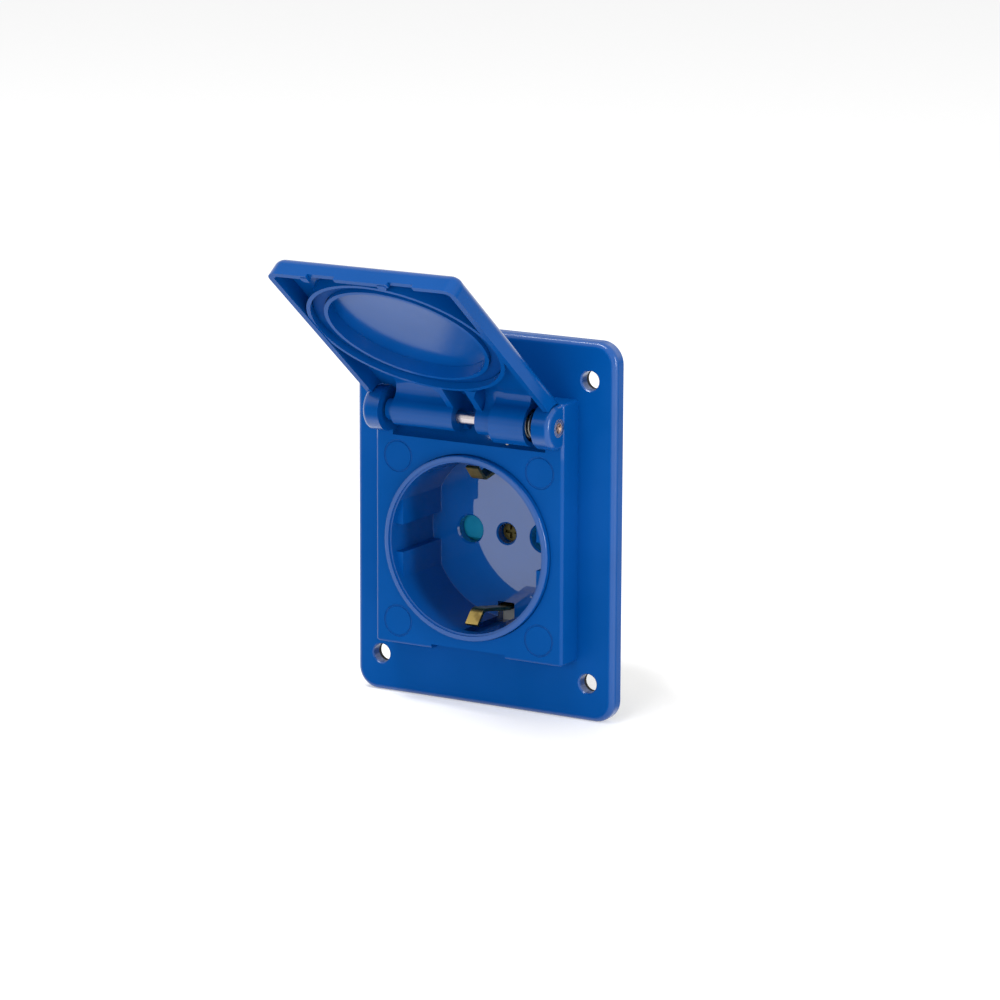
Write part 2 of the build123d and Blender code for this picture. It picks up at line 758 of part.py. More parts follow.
def knuckle_web(x_low, x_high, radius, web_r):
    """Rounded fillet of material between a knuckle and the lid's floor."""
    plate_y = -lid_floor_h
    drop = math.sqrt((radius + web_r) ** 2 - (web_r + plate_y) ** 2)
    centre = (plate_y + web_r, -drop)
    scale = radius / (radius + web_r)
    on_knuckle = (centre[0] * scale, centre[1] * scale)
    middle_dir = (on_knuckle[0] - centre[0] - web_r, on_knuckle[1] - centre[1])
    length = math.hypot(*middle_dir)
    middle = (centre[0] + web_r * middle_dir[0] / length, centre[1] + web_r * middle_dir[1] / length)
    outline = [
        Line((0, 0), (plate_y - seat_gap, 0)),
        Line((plate_y - seat_gap, 0), (plate_y - seat_gap, -drop)),
        Line((plate_y - seat_gap, -drop), (plate_y, -drop)),
        ThreePointArc((plate_y, -drop), middle, on_knuckle),
        Line(on_knuckle, (0, 0)),
    ]
    face = make_face(Curve() + outline)
    return Pos(x_low, 0, 0) * extrude(Plane.YZ * face, x_high - x_low)


def knuckle(x_low, x_high, radius):
    """A knuckle with the lid's rounded back shell behind it."""
    shell = rod_along_x(back_shell_r, x_low, x_high)
    shell &= block(x_low, x_high, -back_shell_r, 0, 0, back_shell_r)
    heel = block(x_low, x_high, -lid_outer_h, -lid_floor_h, -lid_heel - seat_gap, 0)
    return rod_along_x(radius, x_low, x_high) + shell + heel


def lid_rib(x, side):
    """Rib from the knuckle to the outer ring, flared away from the notch where it meets the ring."""
    root = -lid_floor_h - seat_gap
    profile = [(root, 0), (0, 0), (-outer_ring_h, -rib_reach), (root, -rib_reach)]
    whole_width = rib_thickness + rib_flare
    rib = extrude(Plane.YZ * make_face(Polyline(*profile, close=True)), whole_width, both=True)
    thin = x + side * rib_thickness
    wide = x + side * whole_width
    flare_start = -rib_reach + rib_flare_length
    plan = [(x, 0), (thin, 0), (thin, flare_start), (wide, -rib_reach), (x, -rib_reach)]
    outline = Plane.XZ * make_face(Polyline(*plan, close=True))
    return Pos(x, 0, 0) * rib & extrude(outline, lid_outer_h, both=True)


def lid_ribs():
    """The two ribs beside the notch."""
    return lid_rib(notch_left, -1) + lid_rib(notch_right, 1)


def lid():
    """Sprung lid with its knuckles, drawn shut and swung open at the end."""
    shape = lid_tray() + lid_rings()
    sphere_r = (dish_r**2 + dish_depth**2) / (2 * dish_depth)
    dish_y = -lid_floor_h - dish_depth + sphere_r
    dish_place = rod_along_y(dish_r, -lid_outer_h, -lid_floor_h + seat_gap, 0, -ring_centre)
    shape -= Pos(0, dish_y, -ring_centre) * Sphere(sphere_r) & dish_place
    shape += knuckle(neck_end, plain_knuckle_end, neck_r)
    shape += knuckle(plain_knuckle_end, notch_left, plain_knuckle_r)
    shape += knuckle(notch_right, spring_knuckle_start, plain_knuckle_r)
    shape += knuckle(spring_knuckle_start, spring_knuckle_end, spring_knuckle_r)
    shape += knuckle_web(plain_knuckle_end, notch_left, plain_knuckle_r, plain_web_r)
    shape += knuckle_web(notch_right, spring_knuckle_start, plain_knuckle_r, plain_web_r)
    shape += knuckle_web(spring_knuckle_start, spring_knuckle_end, spring_knuckle_r, spring_web_r)
    shape += lid_ribs()
    for x in pad_places:
        pad = rod_along_y(pad_r, -lid_floor_h, -lid_lip_h + pad_proud, x, -lid_reach + lid_wall)
        shape += pad & inside_tray(lid_wall / 2, -lid_heel)
    notch_bottom = -lid_lip_h - lip_notch_depth
    for x_low, x_high in lip_notches:
        end_high = -lid_reach + lid_wall + past
        shape -= block(x_low, x_high, notch_bottom, past, -lid_reach - past, end_high)
    clear_r = ear_r + ear_swing_gap
    for side in (-1, 1):
        x_low, x_high = sorted((side * (ear_inner_x - fit_gap), side * (lid_half_width + past)))
        shape -= rod_along_x(clear_r, x_low, x_high)
    shape -= rod_along_x(hinge_pin_r + pin_bore_gap, neck_end - past, spring_knuckle_end + past)
    shape -= rod_along_x(spring_chamber_r, spring_chamber_start, spring_knuckle_end + past)
    leg_end = -spring_knuckle_r - past
    leg_hole = rod_along_z(spring_wire_r + spring_leg_gap, leg_end, -spring_coil_r, coil_start)
    return swing_open(shape) - along_spring_leg(leg_hole)


def lid_seal():
    """Soft flat ring between the lid's two rings."""
    outer = outer_ring_r - outer_ring_wall - seal_side_gap
    inner = inner_ring_r + seal_side_gap
    seal = lid_ring(outer, inner, -lid_floor_h, -seal_h)
    return swing_open(seal & inside_tray(lid_wall + seal_side_gap, -lid_heel))


def hinge_pin():
    """Steel pin through both ears, its riveted head in the right one."""
    head_seat = ear_outer_x - pin_head_length
    pin = rod_along_x(hinge_pin_r, -ear_outer_x + pin_end_wall, head_seat, hinge_y, hinge_z)
    pin += rod_along_x(pin_head_r, head_seat, ear_outer_x, hinge_y, hinge_z)
    dimple_sphere_r = (pin_dimple_r**2 + pin_dimple_depth**2) / (2 * pin_dimple_depth)
    dimple_x = ear_outer_x - pin_dimple_depth + dimple_sphere_r
    return pin - Pos(dimple_x, hinge_y, hinge_z) * Sphere(dimple_sphere_r)


def lid_spring():
    """Coil round the pin: one leg through the knuckle, one tail in the right ear."""
    length = spring_turns * spring_pitch
    spring = coil(spring_coil_r, spring_wire_r, spring_turns, spring_pitch)
    leg = rod_along_x(spring_wire_r, spring_coil_r, spring_knuckle_r + spring_leg_proud)
    tail = rod_along_z(spring_wire_r, length, length + spring_tail_length, spring_coil_r)
    spring = Rot(0, 90, 0) * (spring + leg + tail)
    return along_spring_leg(Pos(coil_start, 0, 0) * spring)


def write_parts():
    """Writes each piece to a file of its own."""
    os.makedirs("parts", exist_ok=True)
    pieces = {
        "front_frame": front_frame(),
        "panel_gasket": panel_gasket(),
        "socket_well": socket_well(),
        "centre_screw": centre_screw(),
        "shutter": shutter(),
        "shutter_spring": shutter_spring(),
        "earth_bridge": earth_bridge(),
        "contact_base": contact_base(),
        "base_screws": base_screws(),
        "live_contact": pin_contact(-1),
        "neutral_contact": pin_contact(1),
        "live_contact_spring": contact_spring(-1),
        "neutral_contact_spring": contact_spring(1),
        "terminal_screws": terminal_screws(),
        "lid": lid(),
        "lid_seal": lid_seal(),
        "hinge_pin": hinge_pin(),
        "lid_spring": lid_spring(),
    }
    for name, (x, z) in terminal_places().items():
        pieces[name + "_terminal"] = terminal_block(x, z)
    for name, shape in pieces.items():
        export_step(shape, os.path.join("parts", name + ".step"))


write_parts()
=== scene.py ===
# %% [markdown]
# # A waterproof flush wall socket with its lid open
#
# The object is a moulded blue frame with a round well for the plug, brass earth
# clips, a shutter behind the pin holes and a sprung lid on a steel pin. Its true
# shapes and sizes come ready made as the frame, so this script is about the looks:
# what each surface is, how light falls on it and where the camera stands.
# Everything is in metres: X to the right, Y into the wall, Z up.

# %% Load the frame
import math

import bmesh
import bpy
from mathutils import Matrix, Vector


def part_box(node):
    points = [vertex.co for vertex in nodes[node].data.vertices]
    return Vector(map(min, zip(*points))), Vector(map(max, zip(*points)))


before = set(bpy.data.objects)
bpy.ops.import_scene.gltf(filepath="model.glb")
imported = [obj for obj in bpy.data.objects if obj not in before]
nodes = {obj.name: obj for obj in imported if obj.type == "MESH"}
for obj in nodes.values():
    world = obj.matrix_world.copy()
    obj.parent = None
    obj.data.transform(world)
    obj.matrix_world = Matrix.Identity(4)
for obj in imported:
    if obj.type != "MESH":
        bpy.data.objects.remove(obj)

scene = bpy.context.scene
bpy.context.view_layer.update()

MM = 0.001

# %% [markdown]
# ## Arithmetic on shader values
#
# A procedural finish is mostly small sums on masks. Writing them as Python
# expressions is easier to read than a web of nodes, so one small class wraps a
# socket: an operator on it adds a Math node, and `node` adds any other kind.


# %% Wire, a socket that can be calculated with
def fill(node, values):
    """Fills a node's sockets with constants or wires."""
    for name, value in values.items():
        if isinstance(value, Wire):
            value.tree.links.new(value.socket, node.inputs[name])
        else:
            node.inputs[name].default_value = value


class Wire:
    """One output of a node, in one material's tree."""

    def __init__(self, tree, socket=None):
        self.tree = tree
        self.socket = socket

    def node(self, kind, settings, values, output=0):
        """Adds a node: its settings first, then numbers, colours or wires for its sockets."""
        made = self.tree.nodes.new(kind)
        for name, setting in settings.items():
            setattr(made, name, setting)
        fill(made, values)
        return Wire(self.tree, made.outputs[output])

    def math(self, operation, first, second):
        return self.node("ShaderNodeMath", {"operation": operation}, {0: first, 1: second})

    def vector_math(self, operation, *others, output="Vector"):
        values = dict(enumerate((self, *others)))
        return self.node("ShaderNodeVectorMath", {"operation": operation}, values, output)

    def along(self, axis):
        """One coordinate of a vector: X, Y or Z."""
        return self.node("ShaderNodeSeparateXYZ", {}, {"Vector": self}, axis)

    def larger(self, other):
        """The larger of two values."""
        return self.math("MAXIMUM", self, other)

    def __add__(self, other):
        return self.math("ADD", self, other)

    def __rsub__(self, other):
        return self.math("SUBTRACT", other, self)

    def __mul__(self, other):
        return self.math("MULTIPLY", self, other)

    __radd__ = __add__
    __rmul__ = __mul__


# %% [markdown]
# ## Masks that every finish shares
#
# Moulded and stamped surfaces are never quite even. A fine noise gives the grain of
# the mould, a wide one gives slow drifts in tone, and a stretched one gives rolled
# or brushed lines. All of them read Object coordinates, so they stay with the piece.

# %% Noise, steps and bumps
PLAIN_DETAIL, FINE_DETAIL, RICH_DETAIL = 2.0, 3.0, 4.0


def noise(place, size, detail=PLAIN_DETAIL):
    """Noise from 0 to 1 whose blobs are about that many metres across."""
    values = {"Vector": place, "Scale": 1.0 / size, "Detail": detail}
    return place.node("ShaderNodeTexNoise", {}, values)


def stretched(place, stretch):
    """Object coordinates scaled along each axis, to draw a noise out into lines."""
    return place.node("ShaderNodeMapping", {}, {"Vector": place, "Scale": stretch})


def step(mask, low, high):
    """0 below low, 1 above high and a ramp between them."""
    values = {"Value": mask, "From Min": low, "From Max": high}
    return mask.node("ShaderNodeMapRange", {"clamp": True}, values)


def bump(height, strength, depth):
    """A normal tilted by a height mask; depth is in metres."""
    values = {"Height": height, "Strength": strength, "Distance": depth}
    return height.node("ShaderNodeBump", {}, values)


# %% [markdown]
# ## Colours
#
# Colours are written as they look on a screen, because that is how they are picked.
# Light is reckoned in linear numbers, so each is turned into those by the screen's
# own curve. The Mix node has sockets for numbers, vectors and colours side by side,
# and those for colours are known by their places in the row.

# %% Screen colours, blends and a new finish
SCREEN_WHITE = 255
CURVE_KNEE, CURVE_SLOPE, CURVE_OFFSET, CURVE_POWER = 0.04045, 12.92, 0.055, 2.4
MIX_FACTOR, MIX_FIRST, MIX_SECOND = 0, 6, 7
MIX_COLOUR = 2
WHITE = (1.0, 1.0, 1.0, 1.0)


def linear_level(level):
    """A level on the screen as a level of light, both from 0 to 1."""
    if level <= CURVE_KNEE:
        return level / CURVE_SLOPE
    return ((level + CURVE_OFFSET) / (1 + CURVE_OFFSET)) ** CURVE_POWER


def linear(red, green, blue):
    """A colour as it looks on screen, from 0 to 255, as the numbers that light works with."""
    return (*[linear_level(value / SCREEN_WHITE) for value in (red, green, blue)], 1.0)


def blend(mask, first, second):
    """A colour that goes from first to second as the mask goes from 0 to 1."""
    values = {MIX_FACTOR: mask, MIX_FIRST: first, MIX_SECOND: second}
    return mask.node("ShaderNodeMix", {"data_type": "RGBA"}, values, MIX_COLOUR)


def new_finish(name):
    """An empty material: its tree's Principled BSDF and a wire with Object coordinates."""
    material = bpy.data.materials.new(name)
    material.use_nodes = True
    tree = material.node_tree
    place = Wire(tree).node("ShaderNodeTexCoord", {}, {}, "Object")
    return material, tree.nodes["Principled BSDF"], place


# %% [markdown]
# ## Blue moulded plastic
#
# Frame, well and lid are the same saturated blue, but they came out of different
# moulds. The frame has a fine satin grain that swallows reflections, and the lid is
# smoother. One recipe makes all of them, with its polish as the thing that changes.

# %% One recipe for the blue
BLUE = linear(0, 76, 151)
BLUE_GLOSS = (0.25, 0.6, 1.0, 1.0)
PALER, LIFT, DEEPER = 1.07, 0.002, 0.96
PALE_BLUE = (*[v * PALER + LIFT for v in BLUE[:3]], 1.0)
DEEP_BLUE = (*[v * DEEPER for v in BLUE[:3]], 1.0)
DRIFT_SIZE, GRAIN_SIZE, RUBBED_SIZE = 18 * MM, 0.35 * MM, 5 * MM
DRIFT_START, DRIFT_END = 0.3, 0.7
RUBBED_START, RUBBED_END = 0.55, 0.75
RUBBED_DULLNESS, GRAIN_DULLNESS = 0.05, 0.04
GRAIN_STRENGTH = 0.35


def blue_plastic(name, grain_depth, roughness, specular):
    material, shader, place = new_finish(name)
    drift = noise(place, DRIFT_SIZE)
    grain = noise(place, GRAIN_SIZE, FINE_DETAIL)
    rubbed = step(noise(place, RUBBED_SIZE, RICH_DETAIL), RUBBED_START, RUBBED_END)
    fill(
        shader,
        {
            "Base Color": blend(step(drift, DRIFT_START, DRIFT_END), DEEP_BLUE, PALE_BLUE),
            "Roughness": roughness + RUBBED_DULLNESS * rubbed + GRAIN_DULLNESS * grain,
            "Normal": bump(grain, GRAIN_STRENGTH, grain_depth),
            "Specular IOR Level": specular,
            "Specular Tint": BLUE_GLOSS,
        },
    )
    return material, shader, place


print("blue in linear light:", [round(v, 3) for v in BLUE])

# %% [markdown]
# ## The frame and its worn edges
#
# Rounded edges catch more light than the flats beside them, because the grain is
# worn off them first. A mask finds them: on a flat face one part of the normal is
# near 1, and on an edge or a knuckle no part is. The lid stands open, so its normals
# are turned back to those of the shut lid before they are looked at.
#
# A coat layer on the frame brings out the rounded places. The front edges of the
# raised block are sharper and shine less, so depth and height pick them out.

# %% A mask for rounded places
ROUND_NORMAL, FLAT_NORMAL = 0.9, 0.985


def rounded_places(place, turn_back):
    """1 where a surface is rounded, and 0 on faces square to the piece's own axes."""
    normal = place.node("ShaderNodeTexCoord", {}, {}, "Normal")
    turned = {"Vector": normal, "Rotation": (turn_back, 0.0, 0.0)}
    own = place.node("ShaderNodeMapping", {"vector_type": "VECTOR"}, turned)
    sizes = own.vector_math("ABSOLUTE")
    largest = sizes.along("X").larger(sizes.along("Y").larger(sizes.along("Z")))
    return 1 - step(largest, ROUND_NORMAL, FLAT_NORMAL)


# %% Coat on the frame's rounded places
BLOCK_EDGE_END, BLOCK_EDGE_FADE = -9.5 * MM, 0.2 * MM
EARS_START, EARS_FADE = 17 * MM, 1 * MM
BLOCK_EDGE_LOSS = 0.7


def satin_frame():
    material, shader, place = blue_plastic(
        "satin_blue_plastic", grain_depth=0.02 * MM, roughness=0.28, specular=0.1
    )
    in_block_front = 1 - step(place.along("Y"), BLOCK_EDGE_END, BLOCK_EDGE_END + BLOCK_EDGE_FADE)
    below_ears = 1 - step(place.along("Z"), EARS_START, EARS_START + EARS_FADE)
    kept = 1 - BLOCK_EDGE_LOSS * (in_block_front * below_ears)
    coat = rounded_places(place, turn_back=0.0) * kept
    fill(shader, {"Coat Weight": coat, "Coat Roughness": 0.22})
    return material


FRAME_BLUE = satin_frame()
print("edges end and ears start, in mm:", round(BLOCK_EDGE_END / MM, 2), round(EARS_START / MM, 2))

# %% [markdown]
# ## The polished well
#
# The well's floor came off a mirror-bright face of the mould, so it reflects the
# pale table like dark glass, with a sharp edge where the well's own wall gets in
# the way. The rim is half as bright, and the walls hardly shine. A coat layer does
# this best, because its weight may vary over the surface, and a mask on depth picks
# out the floor and the rim.

# %% Coat on the well's floor and rim
WELL_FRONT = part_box("socket_well")[0].y
WELL_DEPTH = 18.5 * MM
WELL_FLOOR = WELL_FRONT + WELL_DEPTH
BEFORE_FLOOR, AT_FLOOR = 0.2 * MM, 0.1 * MM
RIM_END, BEHIND_RIM = 0.4 * MM, 0.6 * MM
COAT_ON_RIM = 0.45


def polished_well():
    material, shader, place = blue_plastic(
        "polished_blue_plastic", grain_depth=0.002 * MM, roughness=0.2, specular=0.1
    )
    depth = place.along("Y")
    at_floor = step(depth, WELL_FLOOR - BEFORE_FLOOR, WELL_FLOOR - AT_FLOOR)
    at_rim = 1 - step(depth, WELL_FRONT + RIM_END, WELL_FRONT + BEHIND_RIM)
    fill(
        shader,
        {
            "Coat Weight": at_floor + COAT_ON_RIM * at_rim,
            "Coat Roughness": 0.03,
            "Coat IOR": 1.85,
        },
    )
    return material


WELL_BLUE = polished_well()
print("well from", round(WELL_FRONT / MM, 2), "to", round(WELL_FLOOR / MM, 2), "mm")

# %% [markdown]
# ## The lid's polished dish
#
# The lid is smooth all over, and the shallow dish in its middle is polished a little
# further. The lid stands open, so the dish is picked out by its distance from its
# own centre, and by how far a point lies in front of the lid's outer face. The
# centre is worked out from the hinge, as if the lid were drawn shut and then swung.

# %% Where the dish is
OPEN_ANGLE = math.radians(128.3)
HINGE = Vector((0.0, -11.8 * MM, 24.8 * MM))
DISH_BELOW_HINGE = 32.9 * MM
LID_INNER_FACE = 4.75 * MM
LID_FLOOR = 1.3 * MM
SWING = Matrix.Rotation(-OPEN_ANGLE, 3, "X")
DISH_CENTRE = HINGE + SWING @ Vector((0.0, -LID_INNER_FACE, -DISH_BELOW_HINGE))
INWARDS = SWING @ Vector((0.0, 1.0, 0.0))
print("dish centre in mm:", [round(v / MM, 2) for v in DISH_CENTRE])

# %% Coat in the lid's dish
DISH_R, DISH_FADE = 17.7 * MM, 0.1 * MM
BEHIND_DISH, AT_DISH = -0.8 * LID_FLOOR, -0.7 * LID_FLOOR
COAT_IN_DISH, COAT_ON_LID_EDGES = 0.34, 0.5


def polished_dish():
    material, shader, place = blue_plastic(
        "smooth_blue_plastic", grain_depth=0.006 * MM, roughness=0.16, specular=0.06
    )
    offset = place.vector_math("SUBTRACT", DISH_CENTRE)
    radius = offset.vector_math("LENGTH", output="Value")
    height = offset.vector_math("DOT_PRODUCT", INWARDS, output="Value")
    in_circle = 1 - step(radius, DISH_R - DISH_FADE, DISH_R)
    in_front = step(height, BEHIND_DISH, AT_DISH)
    in_dish = COAT_IN_DISH * (in_circle * in_front)
    on_edges = COAT_ON_LID_EDGES * rounded_places(place, turn_back=OPEN_ANGLE)
    fill(shader, {"Coat Weight": in_dish.larger(on_edges), "Coat Roughness": 0.14})
    return material


LID_BLUE = polished_dish()

# %% [markdown]
# ## Rubber and foam
#
# The lid's seal is the same blue but softer and duller, with a little dust on it.
# The gasket behind the flange is a black closed-cell foam, so its bump is made of
# small pits, and the pits are painted darker as the shade that falls in them.

# %% The lid's seal
SEAL_CLEAN, SEAL_DUSTY = linear(0, 62, 132), linear(8, 74, 142)
SKIN_SIZE, DUST_SIZE = 0.6 * MM, 7 * MM
DUST_START, DUST_END = 0.5, 0.8
SEAL_ROUGHNESS, SKIN_DULLNESS = 0.42, 0.1
SKIN_STRENGTH, SKIN_DEPTH = 0.3, 0.02 * MM


def soft_blue():
    material, shader, place = new_finish("blue_elastomer")
    skin = noise(place, SKIN_SIZE, FINE_DETAIL)
    dust = step(noise(place, DUST_SIZE, FINE_DETAIL), DUST_START, DUST_END)
    fill(
        shader,
        {
            "Base Color": blend(dust, SEAL_CLEAN, SEAL_DUSTY),
            "Roughness": SEAL_ROUGHNESS + SKIN_DULLNESS * skin,
            "Normal": bump(skin, SKIN_STRENGTH, SKIN_DEPTH),
            "Specular IOR Level": 0.03,
            "Specular Tint": BLUE_GLOSS,
        },
    )
    return material


SEAL_BLUE = soft_blue()

# %% The gasket
# The darker pit colour is painted shade in the foam's recesses, not a second material.
FOAM_SKIN, FOAM_PIT_SHADE = linear(30, 30, 32), linear(14, 14, 15)
CELL_SIZE = 0.7 * MM
PIT_MIDDLE, PIT_EDGE = 0.05, 0.35
FOAM_ROUGHNESS, PIT_DULLNESS = 0.8, 0.15
PIT_STRENGTH, PIT_DEPTH = 0.6, 0.08 * MM


def black_foam():
    material, shader, place = new_finish("black_foam")
    cells = place.node("ShaderNodeTexVoronoi", {}, {"Vector": place, "Scale": 1 / CELL_SIZE})
    pits = 1 - step(cells, PIT_MIDDLE, PIT_EDGE)
    fill(
        shader,
        {
            # painted shade: the pits take the darker colour
            "Base Color": blend(pits, FOAM_SKIN, FOAM_PIT_SHADE),
            "Roughness": FOAM_ROUGHNESS + PIT_DULLNESS * pits,
            "Normal": bump(1 - pits, PIT_STRENGTH, PIT_DEPTH),
        },
    )
    return material


GASKET_BLACK = black_foam()
print("rubber and foam:", SEAL_BLUE.name, GASKET_BLACK.name)

# %% [markdown]
# ## The other plastics
#
# The shutter is a satin teal moulding, and the base behind the well is a matt grey
# one. Both have a fine texture all over and hardly change in tone.

# %% Shutter and base
TONE_SIZE, TEXTURE_SIZE = 6 * MM, 0.25 * MM
TEXTURE_DULLNESS = 0.1
TEXTURE_STRENGTH, TEXTURE_DEPTH = 0.4, 0.02 * MM


def plain_plastic(name, pale, deep, roughness, specular):
    material, shader, place = new_finish(name)
    tone = step(noise(place, TONE_SIZE, FINE_DETAIL), DRIFT_START, DRIFT_END)
    texture = noise(place, TEXTURE_SIZE, FINE_DETAIL)
    fill(
        shader,
        {
            "Base Color": blend(tone, deep, pale),
            "Roughness": roughness + TEXTURE_DULLNESS * texture,
            "Normal": bump(texture, TEXTURE_STRENGTH, TEXTURE_DEPTH),
            "Specular IOR Level": specular,
        },
    )
    return material


SHUTTER_TEAL = plain_plastic(
    "teal_plastic", pale=linear(24, 134, 170), deep=linear(14, 117, 154), roughness=0.35, specular=0.15
)
BASE_GREY = plain_plastic(
    "grey_insulating", pale=linear(173, 174, 171), deep=linear(167, 169, 167), roughness=0.5, specular=0.4
)
print("plastics:", SHUTTER_TEAL.name, BASE_GREY.name)

# %% [markdown]
# ## Metals
#
# Stamped brass carries rolling lines along the strip and a little brown where air
# has reached it. Spring wire is bright and drawn smooth. The zinc plate on screws is
# grainy, and the screw deep in the well is given a darker brass.

# %% Brass, spring wire and zinc
LINE_SIZE, STAIN_SIZE = 0.3 * MM, 2.5 * MM
STAIN_END = 0.85
LINE_DULLNESS, STAIN_DULLNESS = 0.12, 0.15
LINE_STRENGTH, LINE_DEPTH = 0.25, 0.02 * MM
LINES_ALONG_STRIP, NO_LINES = (1, 0.12, 0.12), (1, 1, 1)


def metal(name, bright, stained, roughness, stretch=NO_LINES, stain_start=0.5):
    material, shader, place = new_finish(name)
    lines = noise(stretched(place, stretch), LINE_SIZE, RICH_DETAIL)
    stain = step(noise(place, STAIN_SIZE, RICH_DETAIL), stain_start, STAIN_END)
    fill(
        shader,
        {
            "Base Color": blend(stain, bright, stained),
            "Metallic": 1.0,
            "Roughness": roughness + LINE_DULLNESS * lines + STAIN_DULLNESS * stain,
            "Normal": bump(lines, LINE_STRENGTH, LINE_DEPTH),
        },
    )
    return material


BRASS = metal(
    "rolled_brass", linear(186, 160, 92), linear(112, 86, 44), roughness=0.26, stretch=LINES_ALONG_STRIP
)
# the screw at the bottom of the well gets a darker brass than the clips
DARK_BRASS = metal("dark_brass", linear(78, 72, 44), linear(44, 38, 24), roughness=0.4)
SPRING_STEEL = metal("spring_wire", linear(150, 150, 146), linear(96, 92, 86), roughness=0.25)
ZINC = metal("zinc_plate", linear(196, 198, 196), linear(160, 160, 150), roughness=0.35, stain_start=0.55)
print("metals:", BRASS.name, DARK_BRASS.name, SPRING_STEEL.name, ZINC.name)

# %% [markdown]
# ## The hinge pin
#
# The pin is plain steel along its length, with fine lines that run the same way. Its
# closed-over end is a bright ring round a rough coppery hollow, left by the tool
# that spread it. Masks on X and on the distance from the axis tell them apart.

# %% Steel with a copper hollow
PIN_LOW, PIN_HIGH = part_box("hinge_pin")
PIN_AXIS = (PIN_LOW + PIN_HIGH) / 2
HEAD_START, HEAD_FADE = PIN_HIGH.x - 1 * MM, 0.05 * MM
HOLLOW_R, HOLLOW_FADE = 1.3 * MM, 0.15 * MM
PIN_LINES, PIN_LINE_SIZE, PEENED_SIZE = (0.1, 1.0, 1.0), 0.2 * MM, 0.4 * MM
PEENED_START, PEENED_END, PEENED_HEIGHT = 0.4, 0.6, 3.0
STEEL = linear(198, 190, 191)
COPPER_SHADE, COPPER_LIGHT = linear(70, 50, 44), linear(196, 166, 148)
PIN_ROUGHNESS, PIN_LINE_DULLNESS, HOLLOW_DULLNESS = 0.2, 0.1, 0.2
PIN_STRENGTH, PIN_BUMP_DEPTH = 0.6, 0.08 * MM


def pin_steel():
    material, shader, place = new_finish("pin_steel")
    lines = noise(stretched(place, PIN_LINES), PIN_LINE_SIZE, RICH_DETAIL)
    peened = noise(place, PEENED_SIZE, RICH_DETAIL)
    to_axis = {"Location": (0.0, -PIN_AXIS.y, -PIN_AXIS.z), "Scale": (0.0, 1.0, 1.0)}
    centred = place.node("ShaderNodeMapping", {}, {"Vector": place, **to_axis})
    radius = centred.vector_math("LENGTH", output="Value")
    at_head = step(place.along("X"), HEAD_START, HEAD_START + HEAD_FADE)
    in_hollow = at_head * (1 - step(radius, HOLLOW_R - HOLLOW_FADE, HOLLOW_R))
    copper = blend(step(peened, PEENED_START, PEENED_END), COPPER_SHADE, COPPER_LIGHT)
    relief = lines + PEENED_HEIGHT * (in_hollow * peened)
    fill(
        shader,
        {
            "Base Color": blend(in_hollow, STEEL, copper),
            "Metallic": 1.0,
            "Roughness": PIN_ROUGHNESS + PIN_LINE_DULLNESS * lines + HOLLOW_DULLNESS * in_hollow,
            "Normal": bump(relief, PIN_STRENGTH, PIN_BUMP_DEPTH),
        },
    )
    return material


PIN_STEEL = pin_steel()
print("pin axis in mm:", round(PIN_AXIS.y / MM, 2), round(PIN_AXIS.z / MM, 2))

# %% [markdown]
# ## Dressing the pieces
#
# Every piece already has its place and its true shape, so it only takes its finish.

# %% Give each piece its finish
FINISHES = {
    FRAME_BLUE: ["front_frame"],
    WELL_BLUE: ["socket_well"],
    LID_BLUE: ["lid"],
    SEAL_BLUE: ["lid_seal"],
    GASKET_BLACK: ["panel_gasket"],
    SHUTTER_TEAL: ["shutter"],
    BASE_GREY: ["contact_base"],
    DARK_BRASS: ["centre_screw"],
    BRASS: [
        "earth_bridge",
        "live_contact",
        "neutral_contact",
        "live_terminal",
        "neutral_terminal",
        "earth_terminal",
    ],
    SPRING_STEEL: ["lid_spring", "shutter_spring", "live_contact_spring", "neutral_contact_spring"],
    ZINC: ["base_screws", "terminal_screws"],
    PIN_STEEL: ["hinge_pin"],
}
for finish, names in FINISHES.items():
    for name in names:
        nodes[name].data.materials.clear()
        nodes[name].data.materials.append(finish)
print("dressed:", sum(len(names) for names in FINISHES.values()), "of", len(nodes))

# %% [markdown]
# ## Floor and sky
#
# The object stands on a pale table, one disc so big that its edge lies far behind.
# Seen directly or in a reflection the sky is plain white, and everything else is lit
# by it at a lower level, so that the blue keeps its depth. The table gets a little
# light of its own for the same rays, and keeps the object's shadow.


# %% Rays that see the background
def seen_directly(wire):
    """1 for rays from the camera, from a reflection or through glass, and 0 for the rest."""
    path = wire.tree.nodes.new("ShaderNodeLightPath")
    kinds = ("Is Camera Ray", "Is Glossy Ray", "Is Transmission Ray")
    camera, glossy, clear = [Wire(wire.tree, path.outputs[kind]) for kind in kinds]
    return camera.larger(glossy.larger(clear))


# %% Floor
FLOOR_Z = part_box("front_frame")[0].z
FLOOR_RADIUS, FLOOR_SIDES = 3.0, 96
TABLE_DEEP, TABLE_PALE = linear(236, 236, 236), linear(240, 240, 240)
SPECK_SIZE = 4 * MM
TABLE_GLOW = 0.4


def studio_floor():
    mesh = bmesh.new()
    bmesh.ops.create_circle(mesh, cap_ends=True, radius=FLOOR_RADIUS, segments=FLOOR_SIDES)
    bmesh.ops.translate(mesh, verts=mesh.verts, vec=(0, 0, FLOOR_Z))
    data = bpy.data.meshes.new("studio_floor")
    mesh.to_mesh(data)
    mesh.free()
    floor = bpy.data.objects.new("studio_floor", data)
    scene.collection.objects.link(floor)
    return floor


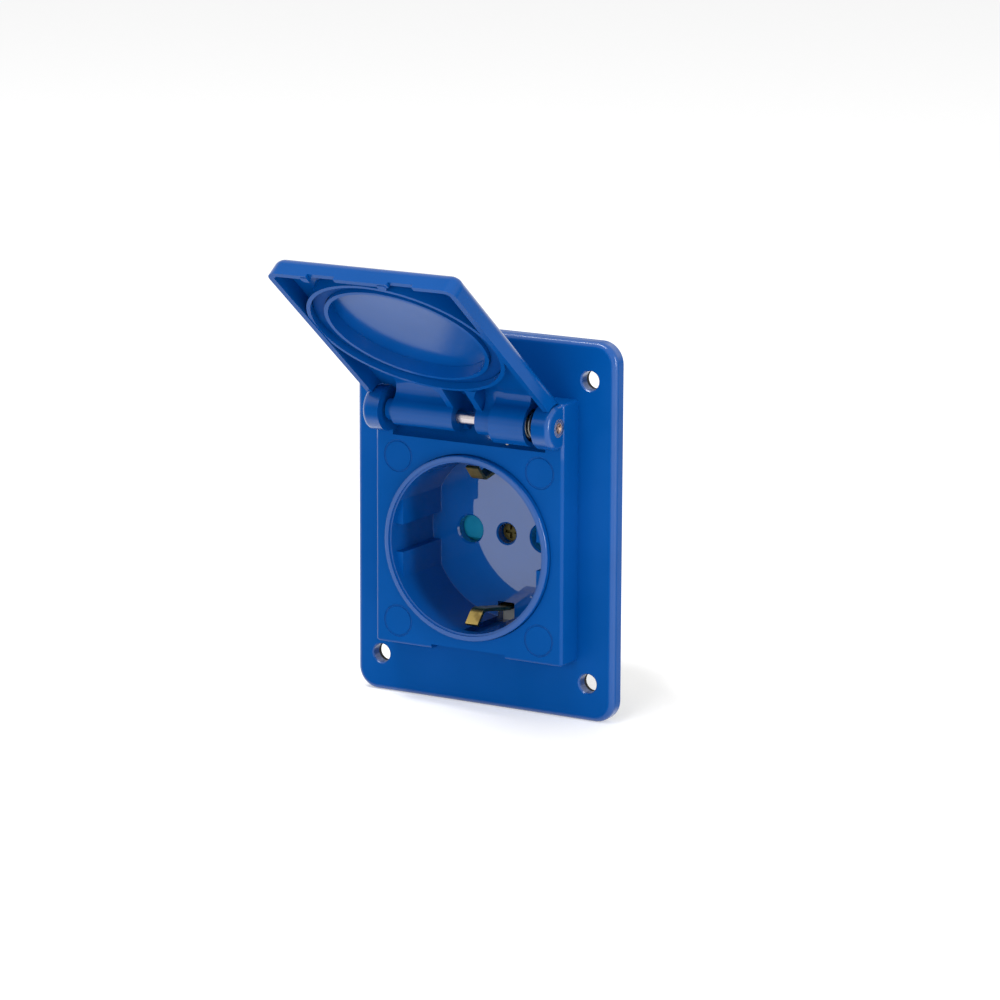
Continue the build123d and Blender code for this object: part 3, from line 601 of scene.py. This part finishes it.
def floor_finish():
    material, shader, place = new_finish("pale_table")
    fill(
        shader,
        {
            "Base Color": blend(noise(place, SPECK_SIZE, FINE_DETAIL), TABLE_DEEP, TABLE_PALE),
            "Roughness": 0.9,
            "Specular IOR Level": 0.0,
            "Emission Color": WHITE,
            "Emission Strength": TABLE_GLOW * seen_directly(place),
        },
    )
    return material


floor = studio_floor()
floor.data.materials.append(floor_finish())
print("floor at", round(FLOOR_Z / MM, 2), "mm")

# %% Sky
SKY_LIGHT = 0.55


def white_sky():
    world = bpy.data.worlds.new("white_sky")
    scene.world = world
    world.use_nodes = True
    sky = world.node_tree.nodes["Background"]
    seen = seen_directly(Wire(world.node_tree))
    fill(sky, {"Color": WHITE, "Strength": SKY_LIGHT + (1 - SKY_LIGHT) * seen})


white_sky()

# %% [markdown]
# ## Lamps
#
# Two lamps are long and narrow: they light flat faces as softly as broad ones would,
# and draw a thin bright line along each rounded edge. The third fills the front from
# afar. It is kept out of reflections, or the polished floor of the well would show
# it as a white patch.

# %% Lamps
MIDDLE = Vector((0.0, -0.02, 0.01))


def softbox(name, place, width, height, watts):
    """A rectangular lamp that faces the object's middle."""
    data = bpy.data.lights.new(name, "AREA")
    data.shape = "RECTANGLE"
    data.size = width
    data.size_y = height
    data.energy = watts
    lamp = bpy.data.objects.new(name, data)
    lamp.location = place
    lamp.rotation_euler = (MIDDLE - Vector(place)).to_track_quat("-Z", "Y").to_euler()
    scene.collection.objects.link(lamp)
    return lamp


front_fill = softbox("front_fill", (0.1, -1.3, 0.2), width=0.7, height=0.5, watts=5.5)
front_fill.visible_glossy = False
overhead_strip = softbox("overhead_strip", (-0.2, -0.35, 1.1), width=0.9, height=0.12, watts=7.2)
right_strip = softbox("right_strip", (1.15, -0.2, 0.25), width=0.12, height=0.6, watts=5.5)
print("lamps:", overhead_strip.name, right_strip.name, front_fill.name)

# %% [markdown]
# ## Camera
#
# The camera looks from the right of the socket and a little above it, through a
# long lens, so that upright edges stay nearly parallel. Its place is given as the
# angles it looks from, the distance and the point it looks at.

# %% Camera
AZIMUTH = math.radians(30.43)
ELEVATION = math.radians(12.19)
ROLL = math.radians(0.247)
DISTANCE = 1.0
FOCAL = 4450.4
FRAME_WIDTH = 1000
SENSOR_WIDTH = 36.0
AIM_RIGHT = 1.884 * MM
AIM_UP = 3.826 * MM

backwards = Vector(
    (
        math.sin(AZIMUTH) * math.cos(ELEVATION),
        -math.cos(AZIMUTH) * math.cos(ELEVATION),
        math.sin(ELEVATION),
    )
)
rightwards = Vector((math.cos(AZIMUTH), math.sin(AZIMUTH), 0.0))
upwards = backwards.cross(rightwards)
tilted = rightwards * math.cos(ROLL) + upwards * math.sin(ROLL)
turn = Matrix((tilted, backwards.cross(tilted), backwards)).transposed()

camera_data = bpy.data.cameras.new("camera")
camera_data.sensor_width = SENSOR_WIDTH
camera_data.lens = FOCAL / FRAME_WIDTH * SENSOR_WIDTH
camera = bpy.data.objects.new("camera", camera_data)
scene.collection.objects.link(camera)
camera.location = rightwards * AIM_RIGHT + upwards * AIM_UP + backwards * DISTANCE
camera.rotation_mode = "QUATERNION"
camera.rotation_quaternion = turn.to_quaternion()
scene.camera = camera
scene.view_settings.view_transform = "Standard"
print("lens:", round(camera_data.lens, 1), "mm, camera at", [round(v, 3) for v in camera.location])
